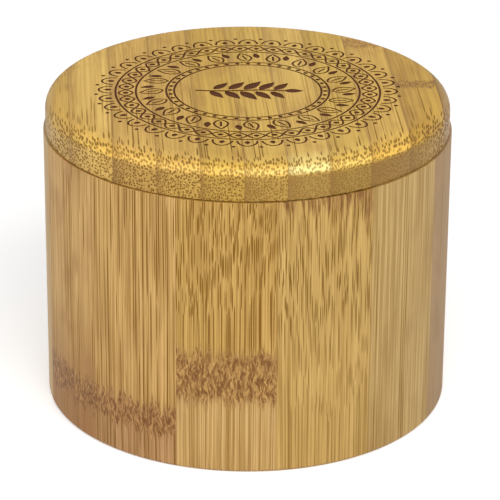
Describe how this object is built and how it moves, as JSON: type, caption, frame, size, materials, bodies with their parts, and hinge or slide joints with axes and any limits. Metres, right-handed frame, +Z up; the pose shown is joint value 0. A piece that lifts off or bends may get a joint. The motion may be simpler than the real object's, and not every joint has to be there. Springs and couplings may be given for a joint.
{
  "type": "salt box",
  "caption": "Round bamboo salt box: coopered wall on a let-in base, with a laminated lid that swings aside on one pin.",
  "frame": {"origin": "centre of the underside, on the surface that the box stands on", "axes": "+Z up, -Y to the front, where the magnets are; the pivot pin is at +Y and the board strips run along Y"},
  "size_m": [0.089, 0.089, 0.07],
  "materials": {
    "stave_bamboo": "oiled, satin",
    "board_bamboo": "oiled, satin",
    "pin_steel": "ground",
    "magnet_nickel": "nickel plated"
  },
  "bodies": {
    "box": {"stave_01": "stave_bamboo", "stave_02": "stave_bamboo", "stave_03": "stave_bamboo", "stave_04": "stave_bamboo", "stave_05": "stave_bamboo", "stave_06": "stave_bamboo", "stave_07": "stave_bamboo", "stave_08": "stave_bamboo", "stave_09": "stave_bamboo", "stave_10": "stave_bamboo", "stave_11": "stave_bamboo", "stave_12": "stave_bamboo", "stave_13": "stave_bamboo", "base_strip_01": "board_bamboo", "base_strip_02": "board_bamboo", "base_strip_03": "board_bamboo", "base_strip_04": "board_bamboo", "base_strip_05": "board_bamboo", "base_strip_06": "board_bamboo", "base_strip_07": "board_bamboo", "base_strip_08": "board_bamboo", "base_strip_09": "board_bamboo", "pivot_pin": "pin_steel", "rim_magnet": "magnet_nickel"},
    "lid": {"lid_strip_01": "board_bamboo", "lid_strip_02": "board_bamboo", "lid_strip_03": "board_bamboo", "lid_strip_04": "board_bamboo", "lid_strip_05": "board_bamboo", "lid_strip_06": "board_bamboo", "lid_strip_07": "board_bamboo", "lid_strip_08": "board_bamboo", "lid_strip_09": "board_bamboo", "lid_strip_10": "board_bamboo", "lid_strip_11": "board_bamboo", "lid_magnet": "magnet_nickel"}
  },
  "joints": [
    {"name": "lid_swivel", "type": "hinge", "parent": "box", "child": "lid", "pos_m": [0, 0.03975, 0.0622], "axis": [0, 0, 1], "continuous": true}
  ]
}
